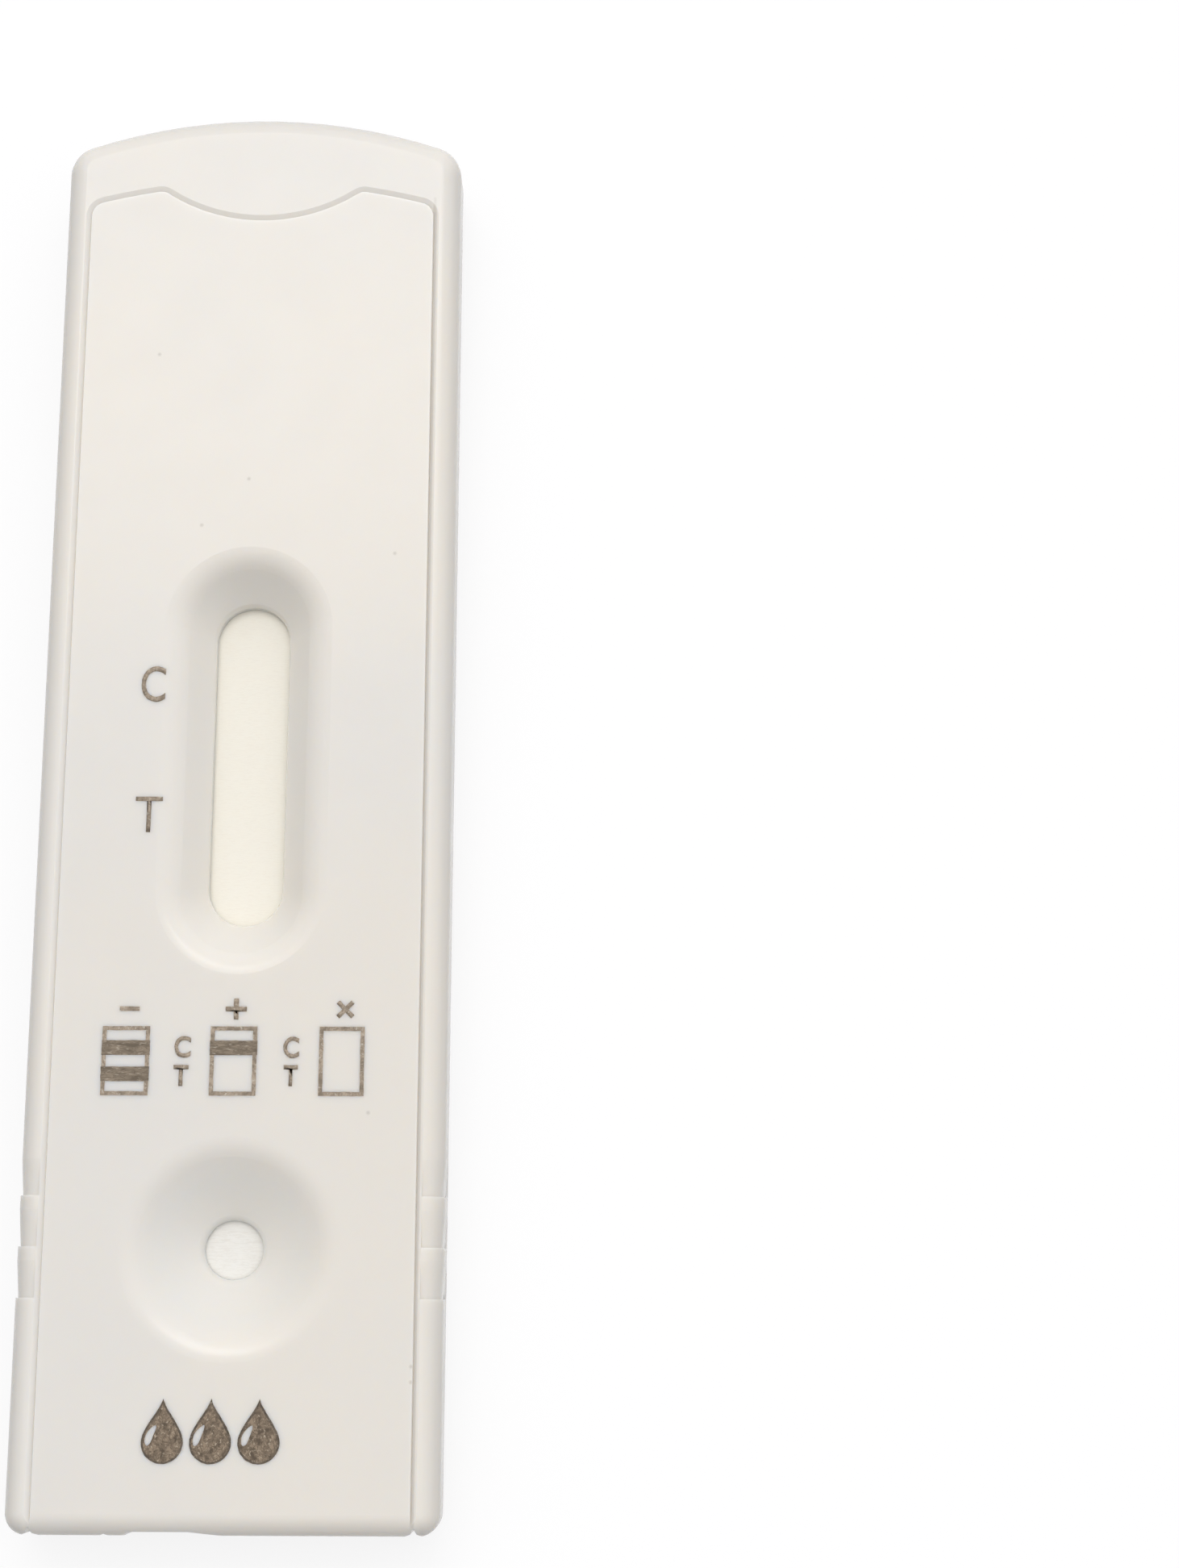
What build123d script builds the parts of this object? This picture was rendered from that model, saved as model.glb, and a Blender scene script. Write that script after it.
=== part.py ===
from build123d import *
from math import sqrt
import os

# Lateral flow cassette: a moulded case of two shells that holds a test strip.
# Millimetres. The origin is the middle of the underside. +Z is up, out of the
# window, +Y runs to the arched end of the case and -Y to its square foot.

# Case outline
case_length = 70.0
case_width = 20.0
case_height = 5.0
parting_height = 2.2
arch_radius = 27.0
shoulder_radius = 1.6
foot_corner_radius = 1.0
overrun = 1.0

# Top shell walls
top_wall = 0.8
top_plate = 1.0
top_edge_round = 1.0

# Bottom shell walls and the lip that keys it into the top shell
bottom_inset = 0.1
bottom_floor = 0.9
bottom_edge_round = 0.6
lip_height = 0.5
lip_thickness = 0.5
lip_clearance = 0.1

# Moulded line round the flat panel of the top face
rail_width = 1.2
panel_head_inset = 3.69
panel_head_radius = 33.0
panel_corner_radius = 0.9
finger_dip_inset = 5.67
finger_radius = 8.5
crest_radius = 0.8
line_width = 0.3
line_wall_run = 0.05
line_depth = 0.11
notch_width = 0.9
notch_throat_width = 0.3
notch_flare = 0.12
notch_depth = 0.42

# Thumb grips across both rails
grip_count = 3
grip_from_foot = 10.65
grip_pitch = 2.35
grip_ramp = 1.7
grip_depth = 0.12

# Gate recess in the foot edge, where the moulding was cut from its runner
gate_from_side = 5.7
gate_width = 2.8
gate_run = 1.6
gate_depth = 0.2
nick_from_gate = 1.1
nick_width = 0.4
nick_depth = 0.1

# Reading window: a slot at the bottom of a sloping recess
window_from_foot = 36.35
slot_length = 16.0
slot_width = 3.6
recess_length = 20.0
recess_width = 6.8
slot_wall_height = 0.5
slot_lip_round = 0.4
recess_rim_round = 1.6
funnel_wall = 0.8
window_clearance = 0.05

# Sample well: a shallow cone that drains into a round port
well_from_foot = 12.9
well_diameter = 9.4
port_diameter = 2.75
port_wall_height = 0.35
port_lip_round = 0.45
well_rim_round = 2.0
well_wall = 0.8
port_clearance = 0.05

# Test strip
strip_width = 4.0
strip_end_inset = 5.0
strip_end_gap = 0.3
card_thickness = 0.3
membrane_thickness = 0.2
membrane_margin = 3.6
conjugate_thickness = 0.35
conjugate_length = 8.0
sample_thickness = 0.4
absorbent_thickness = 0.8
pad_overlap = 2.0

# Cradle for the strip in the bottom shell
cradle_count = 7
cradle_end_inset = 4.0
cradle_rib = 0.8
guide_length = 3.0
guide_thickness = 0.7
guide_clearance = 0.15
guide_drop = 0.05
stop_thickness = 0.8

# Bars under the top shell that press the pads together
bar_thickness = 0.8
bar_overhang = 0.5
bar_least_height = 0.5

# Pins of the top shell and their sockets in the bottom shell
pin_rows = 4
pin_from_side = 3.2
pin_from_foot = 3.8
pin_from_head = 4.6
pin_diameter = 1.5
pin_boss_diameter = 2.8
pin_lead = 0.2
pin_clearance = 0.04
pin_end_gap = 0.3
socket_diameter = 2.8
boss_gap = 0.1

# Places worked out from the sizes
half_width = case_width / 2
foot_y = -case_length / 2
head_y = case_length / 2
arch_centre_y = head_y - arch_radius
arch_start_y = arch_centre_y + sqrt(arch_radius**2 - half_width**2)
ceiling = case_height - top_plate

window_y = foot_y + window_from_foot
window_low_y = window_y - slot_length / 2
window_high_y = window_y + slot_length / 2
well_y = foot_y + well_from_foot

strip_low_y = foot_y + strip_end_inset
strip_high_y = head_y - strip_end_inset
membrane_low_y = window_low_y - membrane_margin
membrane_high_y = window_high_y + membrane_margin
absorbent_low_y = membrane_high_y - pad_overlap
conjugate_high_y = membrane_low_y + pad_overlap
conjugate_low_y = conjugate_high_y - conjugate_length
sample_high_y = conjugate_low_y + pad_overlap

absorbent_step_top = ceiling - bar_least_height
strip_seat_height = absorbent_step_top - absorbent_thickness - membrane_thickness - card_thickness
card_top = strip_seat_height + card_thickness
membrane_top = card_top + membrane_thickness
conjugate_top = card_top + conjugate_thickness
conjugate_step_top = membrane_top + conjugate_thickness
sample_top = card_top + sample_thickness
sample_step_top = conjugate_top + sample_thickness
absorbent_top = card_top + absorbent_thickness

# Outlines shared by the two shells
with BuildSketch() as case_plan:
    with BuildLine():
        sides = Polyline(
            (-half_width, arch_start_y), (-half_width, foot_y),
            (half_width, foot_y), (half_width, arch_start_y),
        )
        ThreePointArc(sides @ 1, (0, head_y), sides @ 0)
    make_face()
    fillet(case_plan.vertices().group_by(Axis.Y)[-1], shoulder_radius)
    fillet(case_plan.vertices().group_by(Axis.Y)[0], foot_corner_radius)


def case_plan_inset(inset):
    """Plan of the case drawn in by one distance all round."""
    with BuildSketch() as plan:
        offset(case_plan.sketch, amount=-inset)
    return plan.sketch


top_cavity_plan = case_plan_inset(top_wall)
bottom_plan = case_plan_inset(bottom_inset)
lip_plan = case_plan_inset(top_wall + lip_clearance)
bottom_cavity_plan = case_plan_inset(top_wall + lip_clearance + lip_thickness)

# Pins and sockets share one grid of centres
pin_x = half_width - pin_from_side
pin_low_y = foot_y + pin_from_foot
pin_pitch = (case_length - pin_from_foot - pin_from_head) / (pin_rows - 1)
pin_centres = [(x, pin_low_y + row * pin_pitch) for row in range(pin_rows) for x in (-pin_x, pin_x)]

# The flat panel of the top face, open towards the foot
line_x = half_width - rail_width
panel_head_y = head_y - panel_head_inset
panel_arc_start_y = panel_head_y - panel_head_radius + sqrt(panel_head_radius**2 - line_x**2)
finger_centre_y = head_y - finger_dip_inset + finger_radius

with BuildSketch() as panel_plan:
    with BuildLine():
        sides = Polyline(
            (-line_x, panel_arc_start_y), (-line_x, foot_y - overrun),
            (line_x, foot_y - overrun), (line_x, panel_arc_start_y),
        )
        ThreePointArc(sides @ 1, (0, panel_head_y), sides @ 0)
    make_face()
    with Locations((0, finger_centre_y)):
        Circle(finger_radius, mode=Mode.SUBTRACT)
    fillet(panel_plan.vertices().group_by(Axis.Y)[-1], crest_radius)
    left, right = panel_plan.vertices().group_by(Axis.X)[0], panel_plan.vertices().group_by(Axis.X)[-1]
    fillet([left.sort_by(Axis.Y)[-1], right.sort_by(Axis.Y)[-1]], panel_corner_radius)

# The moulded line follows the panel's edge and runs out over the foot. Its
# section has the panel on the side of negative x and the case's inside up.
line_path = Wire(panel_plan.edges().sort_by(Axis.Y)[1:]).moved(Location((0, 0, case_height)))
line_start = Plane(origin=line_path @ 0, x_dir=(line_path % 0).cross(Vector(0, 0, 1)), z_dir=line_path % 0)

# Notch in the foot edge at both ends of the moulded line
with BuildSketch() as notch_plan:
    with Locations((-line_x, foot_y), (line_x, foot_y)):
        Polygon(
            (-notch_width / 2, -overrun), (notch_width / 2, -overrun), (notch_width / 2, 0),
            (notch_throat_width / 2, notch_flare), (0, notch_depth),
            (-notch_throat_width / 2, notch_flare), (-notch_width / 2, 0),
            align=None,
        )

# Cutter for one thumb grip, a ramp that ends in a sharp step, bent over both rails
with BuildPart() as grip_cutter:
    with BuildLine(Plane.XZ) as rail_section:
        FilletPolyline(
            (line_x + line_width / 2, case_height), (half_width, case_height),
            (half_width, parting_height - overrun),
            radius=top_edge_round,
        )
    with BuildSketch(Plane(origin=rail_section.line @ 0, x_dir=(0, 1, 0), z_dir=(1, 0, 0))):
        Polygon(
            (0, -grip_depth), (grip_ramp, 0), (grip_ramp, grip_depth), (0, grip_depth),
            align=None,
        )
    sweep(path=rail_section.line)
    mirror(about=Plane.YZ)

# Top shell, with the window, the sample well, the pins and the pressure bars
port_bottom = sample_top + port_clearance
port_lip_height = port_bottom + port_wall_height
funnel_bottom = membrane_top + window_clearance
slot_lip_height = funnel_bottom + slot_wall_height
boss_bottom = parting_height + boss_gap
pin_tip = bottom_floor + pin_end_gap
funnel_share = (ceiling - slot_lip_height) / (case_height - slot_lip_height)
bowl_share = (ceiling - port_lip_height) / (case_height - port_lip_height)
well_radius = well_diameter / 2
port_radius = port_diameter / 2
bowl_radius_at_ceiling = port_radius + bowl_share * (well_radius - port_radius)
absorbent_bar_shares = [0.45, 0.85]
pressure_bars = [
    (sample_high_y - pad_overlap / 2, sample_step_top),
    (membrane_low_y + pad_overlap / 2, conjugate_step_top),
    (membrane_high_y - pad_overlap / 2, absorbent_step_top),
]
for share in absorbent_bar_shares:
    pressure_bars.append((absorbent_low_y + share * (strip_high_y - absorbent_low_y), absorbent_top))

with BuildPart() as top_shell:
    # Block with a rounded top edge, opened from below
    with BuildSketch(Plane.XY.offset(parting_height)):
        add(case_plan.sketch)
    extrude(amount=case_height - parting_height)
    fillet(top_shell.faces().sort_by(Axis.Z)[-1].edges(), top_edge_round)
    with BuildSketch(Plane.XY.offset(parting_height)):
        add(top_cavity_plan)
    extrude(amount=ceiling - parting_height, mode=Mode.SUBTRACT)

    # Moulded line round the panel, steep on the panel's side and sloping up to the
    # rails, and the notches where it runs out
    with BuildSketch(line_start):
        Polygon(
            (-line_width / 2, -line_depth), (-line_width / 2, 0),
            (-line_width / 2 + line_wall_run, line_depth),
            (line_width / 2, 0), (line_width / 2, -line_depth),
            align=None,
        )
    sweep(path=line_path, mode=Mode.SUBTRACT)
    with BuildSketch(Plane.XY.offset(parting_height)):
        add(notch_plan.sketch)
    extrude(amount=case_height - parting_height, mode=Mode.SUBTRACT)

    # Thumb grips
    with Locations(*[(0, foot_y + grip_from_foot + number * grip_pitch) for number in range(grip_count)]):
        add(grip_cutter.part, mode=Mode.SUBTRACT)

    # Gate recess in the foot edge, and the nick beside it
    gate_x = -half_width + gate_from_side
    nick_x = gate_x - nick_from_gate
    with BuildSketch(Plane.XY.offset(parting_height)):
        Polygon(
            (gate_x - gate_depth, foot_y - overrun), (gate_x - gate_depth, foot_y),
            (gate_x, foot_y + gate_depth), (gate_x + gate_width, foot_y + gate_depth),
            (gate_x + gate_width + gate_run, foot_y), (gate_x + gate_width + gate_run, foot_y - overrun),
            align=None,
        )
        Polygon(
            (nick_x - nick_width / 2, foot_y - overrun), (nick_x + nick_width / 2, foot_y - overrun),
            (nick_x + nick_width / 2, foot_y), (nick_x, foot_y + nick_depth), (nick_x - nick_width / 2, foot_y),
            align=None,
        )
    extrude(amount=case_height - parting_height, mode=Mode.SUBTRACT)

    # Window: a funnel under the plate, then the recess and the slot
    with BuildSketch(Plane.XY.offset(ceiling)):
        with Locations((0, window_y)):
            SlotOverall(
                slot_length + funnel_share * (recess_length - slot_length) + 2 * funnel_wall,
                slot_width + funnel_share * (recess_width - slot_width) + 2 * funnel_wall,
                rotation=90,
            )
    with BuildSketch(Plane.XY.offset(funnel_bottom)):
        with Locations((0, window_y)):
            SlotOverall(slot_length + 2 * funnel_wall, slot_width + 2 * funnel_wall, rotation=90)
    loft(ruled=True)
    with BuildSketch(Plane.XY.offset(case_height)):
        with Locations((0, window_y)):
            SlotOverall(recess_length, recess_width, rotation=90)
    with BuildSketch(Plane.XY.offset(slot_lip_height)):
        with Locations((0, window_y)):
            SlotOverall(slot_length, slot_width, rotation=90)
    loft(ruled=True, mode=Mode.SUBTRACT)
    recess_rim = top_shell.edges(Select.LAST).filter_by_position(Axis.Z, case_height, case_height)
    with BuildSketch(Plane.XY.offset(funnel_bottom)):
        with Locations((0, window_y)):
            SlotOverall(slot_length, slot_width, rotation=90)
    extrude(amount=slot_lip_height - funnel_bottom, mode=Mode.SUBTRACT)
    slot_lip = top_shell.edges().filter_by_position(Axis.Z, slot_lip_height, slot_lip_height)
    fillet(recess_rim, recess_rim_round)
    fillet(slot_lip, slot_lip_round)

    # Sample well: a turned boss under the plate, then the bowl and its port
    with BuildSketch(Plane.XZ.offset(-well_y)):
        Polygon(
            (0, port_bottom), (port_radius + well_wall, port_bottom),
            (bowl_radius_at_ceiling + well_wall, ceiling), (0, ceiling),
            align=None,
        )
    revolve(axis=Axis((0, well_y, 0), (0, 0, 1)))
    with BuildSketch(Plane.XZ.offset(-well_y)):
        Polygon(
            (0, port_bottom), (port_radius, port_bottom), (port_radius, port_lip_height),
            (well_radius, case_height), (0, case_height),
            align=None,
        )
    revolve(axis=Axis((0, well_y, 0), (0, 0, 1)), mode=Mode.SUBTRACT)
    well_edges = top_shell.edges(Select.LAST).filter_by(GeomType.CIRCLE).sort_by(Axis.Z)
    fillet(well_edges[-1], well_rim_round)
    port_lip = top_shell.edges().filter_by_position(Axis.Z, port_lip_height, port_lip_height)
    fillet(port_lip, port_lip_round)

    # Six-sided pins on round bosses
    with BuildSketch(Plane.XY.offset(ceiling)):
        with Locations(*pin_centres):
            Circle(pin_boss_diameter / 2)
    extrude(amount=boss_bottom - ceiling)
    with BuildSketch(Plane.XY.offset(boss_bottom)):
        with Locations(*pin_centres):
            RegularPolygon(pin_diameter / 2, side_count=6)
    extrude(amount=pin_tip - boss_bottom)
    chamfer(top_shell.edges().filter_by_position(Axis.Z, pin_tip, pin_tip), pin_lead)

    # Pressure bars over the pads
    for bar_y, bar_bottom in pressure_bars:
        with BuildSketch(Plane.XY.offset(bar_bottom)):
            with Locations((0, bar_y)):
                Rectangle(strip_width + 2 * bar_overhang, bar_thickness)
        extrude(amount=ceiling - bar_bottom)

# Bottom shell: a tray with a lip, sockets for the pins and a cradle for the strip
guide_top = membrane_top - guide_drop
guide_x = strip_width / 2 + guide_clearance + guide_thickness / 2
cradle_width = 2 * guide_x + guide_thickness
cradle_low_y = strip_low_y + cradle_end_inset
cradle_pitch = (strip_high_y - strip_low_y - 2 * cradle_end_inset) / (cradle_count - 1)
cradle_places = [cradle_low_y + number * cradle_pitch for number in range(cradle_count)]
stop_offset = strip_end_gap + stop_thickness / 2

with BuildPart() as bottom_shell:
    # Tray with a rounded bottom edge and a lip that stands inside the top shell
    with BuildSketch():
        add(bottom_plan)
    extrude(amount=parting_height)
    fillet(bottom_shell.faces().sort_by(Axis.Z)[0].edges(), bottom_edge_round)
    with BuildSketch(Plane.XY.offset(parting_height)):
        add(lip_plan)
    extrude(amount=lip_height)
    with BuildSketch(Plane.XY.offset(bottom_floor)):
        add(bottom_cavity_plan)
    extrude(amount=parting_height + lip_height - bottom_floor, mode=Mode.SUBTRACT)
    with BuildSketch():
        add(notch_plan.sketch)
    extrude(amount=parting_height, mode=Mode.SUBTRACT)

    # Sockets
    with BuildSketch(Plane.XY.offset(bottom_floor)):
        with Locations(*pin_centres):
            Circle(socket_diameter / 2)
    extrude(amount=parting_height - bottom_floor)
    with BuildSketch(Plane.XY.offset(bottom_floor)):
        with Locations(*pin_centres):
            Circle(pin_diameter / 2 + pin_clearance)
    extrude(amount=parting_height - bottom_floor, mode=Mode.SUBTRACT)

    # Cross ribs that carry the strip, with guide walls beside it
    with BuildSketch(Plane.XY.offset(bottom_floor)):
        with Locations(*[(0, y) for y in cradle_places]):
            Rectangle(cradle_width, cradle_rib)
    extrude(amount=strip_seat_height - bottom_floor)
    with BuildSketch(Plane.XY.offset(bottom_floor)):
        with Locations(*[(x, y) for y in cradle_places for x in (-guide_x, guide_x)]):
            Rectangle(guide_thickness, guide_length)
    extrude(amount=guide_top - bottom_floor)

    # End stops
    with BuildSketch(Plane.XY.offset(bottom_floor)):
        with Locations((0, strip_low_y - stop_offset), (0, strip_high_y + stop_offset)):
            Rectangle(strip_width, stop_thickness)
    extrude(amount=guide_top - bottom_floor)

# Layers of the strip, each drawn in side view. Each pad lies on the card and
# steps up over the end of the layer before it.
with BuildPart() as backing_card:
    with BuildSketch(Plane.YZ):
        Polygon(
            (strip_low_y, strip_seat_height), (strip_high_y, strip_seat_height),
            (strip_high_y, card_top), (strip_low_y, card_top),
            align=None,
        )
    extrude(amount=strip_width / 2, both=True)

with BuildPart() as membrane:
    with BuildSketch(Plane.YZ):
        Polygon(
            (membrane_low_y, card_top), (membrane_high_y, card_top),
            (membrane_high_y, membrane_top), (membrane_low_y, membrane_top),
            align=None,
        )
    extrude(amount=strip_width / 2, both=True)

with BuildPart() as conjugate_pad:
    with BuildSketch(Plane.YZ):
        Polygon(
            (conjugate_low_y, card_top), (membrane_low_y, card_top), (membrane_low_y, membrane_top),
            (conjugate_high_y, membrane_top), (conjugate_high_y, conjugate_step_top),
            (membrane_low_y, conjugate_step_top), (membrane_low_y, conjugate_top),
            (conjugate_low_y, conjugate_top),
            align=None,
        )
    extrude(amount=strip_width / 2, both=True)

with BuildPart() as sample_pad:
    with BuildSketch(Plane.YZ):
        Polygon(
            (strip_low_y, card_top), (conjugate_low_y, card_top), (conjugate_low_y, conjugate_top),
            (sample_high_y, conjugate_top), (sample_high_y, sample_step_top),
            (conjugate_low_y, sample_step_top), (conjugate_low_y, sample_top),
            (strip_low_y, sample_top),
            align=None,
        )
    extrude(amount=strip_width / 2, both=True)

with BuildPart() as absorbent_pad:
    with BuildSketch(Plane.YZ):
        Polygon(
            (strip_high_y, card_top), (membrane_high_y, card_top), (membrane_high_y, membrane_top),
            (absorbent_low_y, membrane_top), (absorbent_low_y, absorbent_step_top),
            (membrane_high_y, absorbent_step_top), (membrane_high_y, absorbent_top),
            (strip_high_y, absorbent_top),
            align=None,
        )
    extrude(amount=strip_width / 2, both=True)

top_shell.part.label = "top_shell"
bottom_shell.part.label = "bottom_shell"
backing_card.part.label = "backing_card"
membrane.part.label = "membrane"
conjugate_pad.part.label = "conjugate_pad"
sample_pad.part.label = "sample_pad"
absorbent_pad.part.label = "absorbent_pad"

os.makedirs("parts", exist_ok=True)
export_step(top_shell.part, "parts/top_shell.step")
export_step(bottom_shell.part, "parts/bottom_shell.step")
export_step(backing_card.part, "parts/backing_card.step")
export_step(membrane.part, "parts/membrane.step")
export_step(conjugate_pad.part, "parts/conjugate_pad.step")
export_step(sample_pad.part, "parts/sample_pad.step")
export_step(absorbent_pad.part, "parts/absorbent_pad.step")
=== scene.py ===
# %% [markdown]
# # A lateral flow cassette
# The real object is a small moulded case of white polystyrene. Two shells are pressed together
# over a paper test strip, which shows through a reading window and is wetted through a round
# sample well. The two shells and the five layers of the strip come from the frame, true to size.
# This lesson gives them their finishes, adds the print on the top face, and lights them softly.

# %% Load the frame
import bpy
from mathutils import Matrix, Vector


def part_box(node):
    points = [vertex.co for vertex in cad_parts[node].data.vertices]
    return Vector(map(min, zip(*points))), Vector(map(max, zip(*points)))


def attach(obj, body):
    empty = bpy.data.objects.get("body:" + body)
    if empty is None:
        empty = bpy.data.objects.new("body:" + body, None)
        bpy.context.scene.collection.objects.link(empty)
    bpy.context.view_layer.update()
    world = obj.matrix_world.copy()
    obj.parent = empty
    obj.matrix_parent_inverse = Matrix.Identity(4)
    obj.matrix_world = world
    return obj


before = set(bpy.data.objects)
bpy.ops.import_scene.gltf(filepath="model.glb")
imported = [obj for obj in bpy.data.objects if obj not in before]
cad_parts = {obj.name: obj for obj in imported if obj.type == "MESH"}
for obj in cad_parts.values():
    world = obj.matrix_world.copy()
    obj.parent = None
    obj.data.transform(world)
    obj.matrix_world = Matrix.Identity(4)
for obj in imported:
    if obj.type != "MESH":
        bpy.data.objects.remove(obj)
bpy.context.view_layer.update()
print("nodes:", sorted(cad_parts))

# %% [markdown]
# ## The sizes that the looks follow
# A printer sets the artwork out from the edges of the case. Every place could be typed in
# metres from the origin, but then a longer case would leave its print behind. So the top face,
# the side, both ends and the window are read from the frame, and turned into millimetres. The
# print, the painted shade line in the right groove and the painted shade on the outer edges are
# counted from these.

# %% Read the case
millimetre = 0.001
case_low, case_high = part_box("top_shell")
membrane_low, membrane_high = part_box("membrane")
face_z = case_high.z
face = face_z / millimetre
side = case_high.x / millimetre
head = case_high.y / millimetre
foot = case_low.y / millimetre
window = (membrane_low.y + membrane_high.y) / 2 / millimetre
print("face at", round(face, 3), "mm, side at", round(side, 3), "mm, window at", round(window, 3), "mm")
print("foot at", round(foot, 3), "mm, head at", round(head, 3), "mm")

# %% [markdown]
# ## Camera
# The case lies flat and is seen from above its foot, leaning a little towards the head. The
# view is narrow, like a telephone held at reading distance, so the foot looks wider than the
# head. A camera can be aimed at a target or given its own turns. The turns are used here,
# because a camera in the hand is never quite level: they are three small angles about the
# case's own axes, from looking straight down.

# %% Place the camera
image_height_px = 1944
focal_length_px = 3145.1
sensor_mm = 36.0
camera_place = Vector((17.52, -25.33, 124.73)) * millimetre
camera_turn = (0.2088, 0.0067, 0.0027)

camera_data = bpy.data.cameras.new("camera")
camera_data.sensor_width = sensor_mm
camera_data.lens = focal_length_px / image_height_px * sensor_mm
camera_data.clip_start = 1 * millimetre
camera = bpy.data.objects.new("camera", camera_data)
camera.rotation_mode = "ZYX"
camera.location = camera_place
camera.rotation_euler = camera_turn
bpy.context.scene.collection.objects.link(camera)
bpy.context.scene.camera = camera
print("lens", round(camera_data.lens, 2), "mm")

# %% [markdown]
# ## Helpers for shader nodes
# The light, the floor and the finishes are all built from nodes. Set one property at a time, a
# node can take five lines, so these helpers make it in one. Each input is given a plain value, or
# the socket that feeds it, so the code reads in the order in which the values flow. Sums and
# blends are needed most often, so they have short helpers of their own.

# %% Write the node helpers
def new_node(tree, kind, inputs, **properties):
    """One node with its properties set. An input is given a value, or the socket that feeds it."""
    node = tree.nodes.new(kind)
    for name, value in properties.items():
        setattr(node, name, value)
    for name, value in inputs.items():
        if isinstance(value, bpy.types.NodeSocket):
            tree.links.new(value, node.inputs[name])
        else:
            node.inputs[name].default_value = value
    return node


def calculate(tree, operation, *values):
    """The result of one operation on numbers or sockets."""
    node = new_node(tree, "ShaderNodeMath", dict(enumerate(values)), operation=operation)
    return node.outputs[0]


def mix_colours(tree, share, first, second):
    """The first colour, blended towards the second by a share."""
    inputs = {"Factor": share, "A": first, "B": second}
    return new_node(tree, "ShaderNodeMix", inputs, data_type="RGBA").outputs["Result"]


print("helpers: new_node, calculate, mix_colours")

# %% [markdown]
# ## Room light
# A white case on a white table needs gentle light, or its faces run together. Many lamps could
# make it, but a world that changes with direction does it with no hard shadow at all. It is
# brightest overhead, leans towards the head end and falls off to the horizon, as a room with a
# wide ceiling lamp does, so the well and the window shade towards the head and the outer edges
# stay a little darker than the top. The camera and the reflections see a white world instead.

# %% Build the world
horizon_strength = 0.24
least_strength = 0.05
overhead_lean = (0.22, 0.66, 1.12)
room_tone = (0.985, 0.978, 1.0, 1.0)
white_tone = (1.0, 1.0, 1.0, 1.0)


def seen_directly(tree):
    """A mask that is 1 where the camera, a mirror or a clear body shows the surface."""
    rays = new_node(tree, "ShaderNodeLightPath", {})
    seen = rays.outputs["Is Camera Ray"]
    for ray_kind in ("Is Glossy Ray", "Is Transmission Ray"):
        seen = calculate(tree, "MAXIMUM", seen, rays.outputs[ray_kind])
    return seen


world = bpy.data.worlds.new("white_room")
bpy.context.scene.world = world
world.use_nodes = True
room = world.node_tree
room.nodes.clear()
direction = new_node(room, "ShaderNodeTexCoord", {})
lean = new_node(
    room, "ShaderNodeVectorMath",
    {0: direction.outputs["Generated"], 1: overhead_lean}, operation="DOT_PRODUCT",
)
above_horizon = calculate(room, "ADD", lean.outputs["Value"], horizon_strength)
never_black = calculate(room, "MAXIMUM", above_horizon, least_strength)
fill = new_node(room, "ShaderNodeBackground", {"Color": room_tone, "Strength": never_black})
white = new_node(room, "ShaderNodeBackground", {"Color": white_tone})
choose = new_node(
    room, "ShaderNodeMixShader", {"Fac": seen_directly(room), 1: fill.outputs[0], 2: white.outputs[0]},
)
new_node(room, "ShaderNodeOutputWorld", {"Surface": choose.outputs[0]})
bpy.context.scene.view_settings.view_transform = "Standard"
print("world leans towards", overhead_lean)

# %% [markdown]
# ## Softbox
# The head half of the panel has a broad, faint gloss, which a room gets from one large lamp. A
# lamp can be a point, a sun, a spot or an area. The area is a softbox: it has a real width, so
# its reflection on the satin plastic is a soft patch and not a dot. It hangs over the head end
# and looks at the case, so that its reflection lies on the head half of the panel.

# %% Hang the softbox
softbox_width = 0.62
softbox_depth = 0.42
softbox_place = Vector((-0.06, 0.55, 1.08))
softbox_power = 2.15
softbox_tone = (1.0, 0.985, 0.955)

lamp_data = bpy.data.lights.new("softbox", "AREA")
lamp_data.shape = "RECTANGLE"
lamp_data.size = softbox_width
lamp_data.size_y = softbox_depth
lamp_data.energy = softbox_power
lamp_data.color = softbox_tone
softbox = bpy.data.objects.new("softbox", lamp_data)
softbox.location = softbox_place
softbox.rotation_euler = (-softbox_place).to_track_quat("-Z", "Y").to_euler()
bpy.context.scene.collection.objects.link(softbox)
print("softbox hangs", round(softbox_place.z, 2), "m up")

# %% [markdown]
# ## Floor
# The floor is a white sheet that is far larger than the case. It takes the case's soft shadow,
# which tells the eye that the case lies on something. More light would turn the sheet white,
# but it would burn out the case too. So the sheet glows white where it is seen directly, mixed
# with its true shading, and the shadow stays as a breath of grey. The light that it throws
# back on the case is that of a greyer table.

# %% Lay the floor
floor_size = 3.0
shadow_share = 0.20
table_tone = (0.50, 0.50, 0.50, 1.0)
sheet_tone = (0.92, 0.92, 0.92, 1.0)

bpy.ops.object.select_all(action="DESELECT")
bpy.ops.mesh.primitive_plane_add(size=floor_size, location=(0, 0, 0))
floor = bpy.context.object
floor.name = "floor"
floor_paint = bpy.data.materials.new("floor_white")
floor_paint.use_nodes = True
sheet = floor_paint.node_tree
floor_shader = sheet.nodes["Principled BSDF"]
floor_shader.inputs["Roughness"].default_value = 1.0
floor_shader.inputs["Specular IOR Level"].default_value = 0.0
seen = seen_directly(sheet)
glow = new_node(sheet, "ShaderNodeEmission", {})
glow_share = calculate(sheet, "MULTIPLY", seen, 1 - shadow_share)
mixed = new_node(
    sheet, "ShaderNodeMixShader",
    {"Fac": glow_share, 1: floor_shader.outputs["BSDF"], 2: glow.outputs["Emission"]},
)
sheet.links.new(mix_colours(sheet, seen, table_tone, sheet_tone), floor_shader.inputs["Base Color"])
sheet.links.new(mixed.outputs[0], sheet.nodes["Material Output"].inputs["Surface"])
floor.data.materials.append(floor_paint)
print("floor is", floor_size, "m wide")

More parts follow.
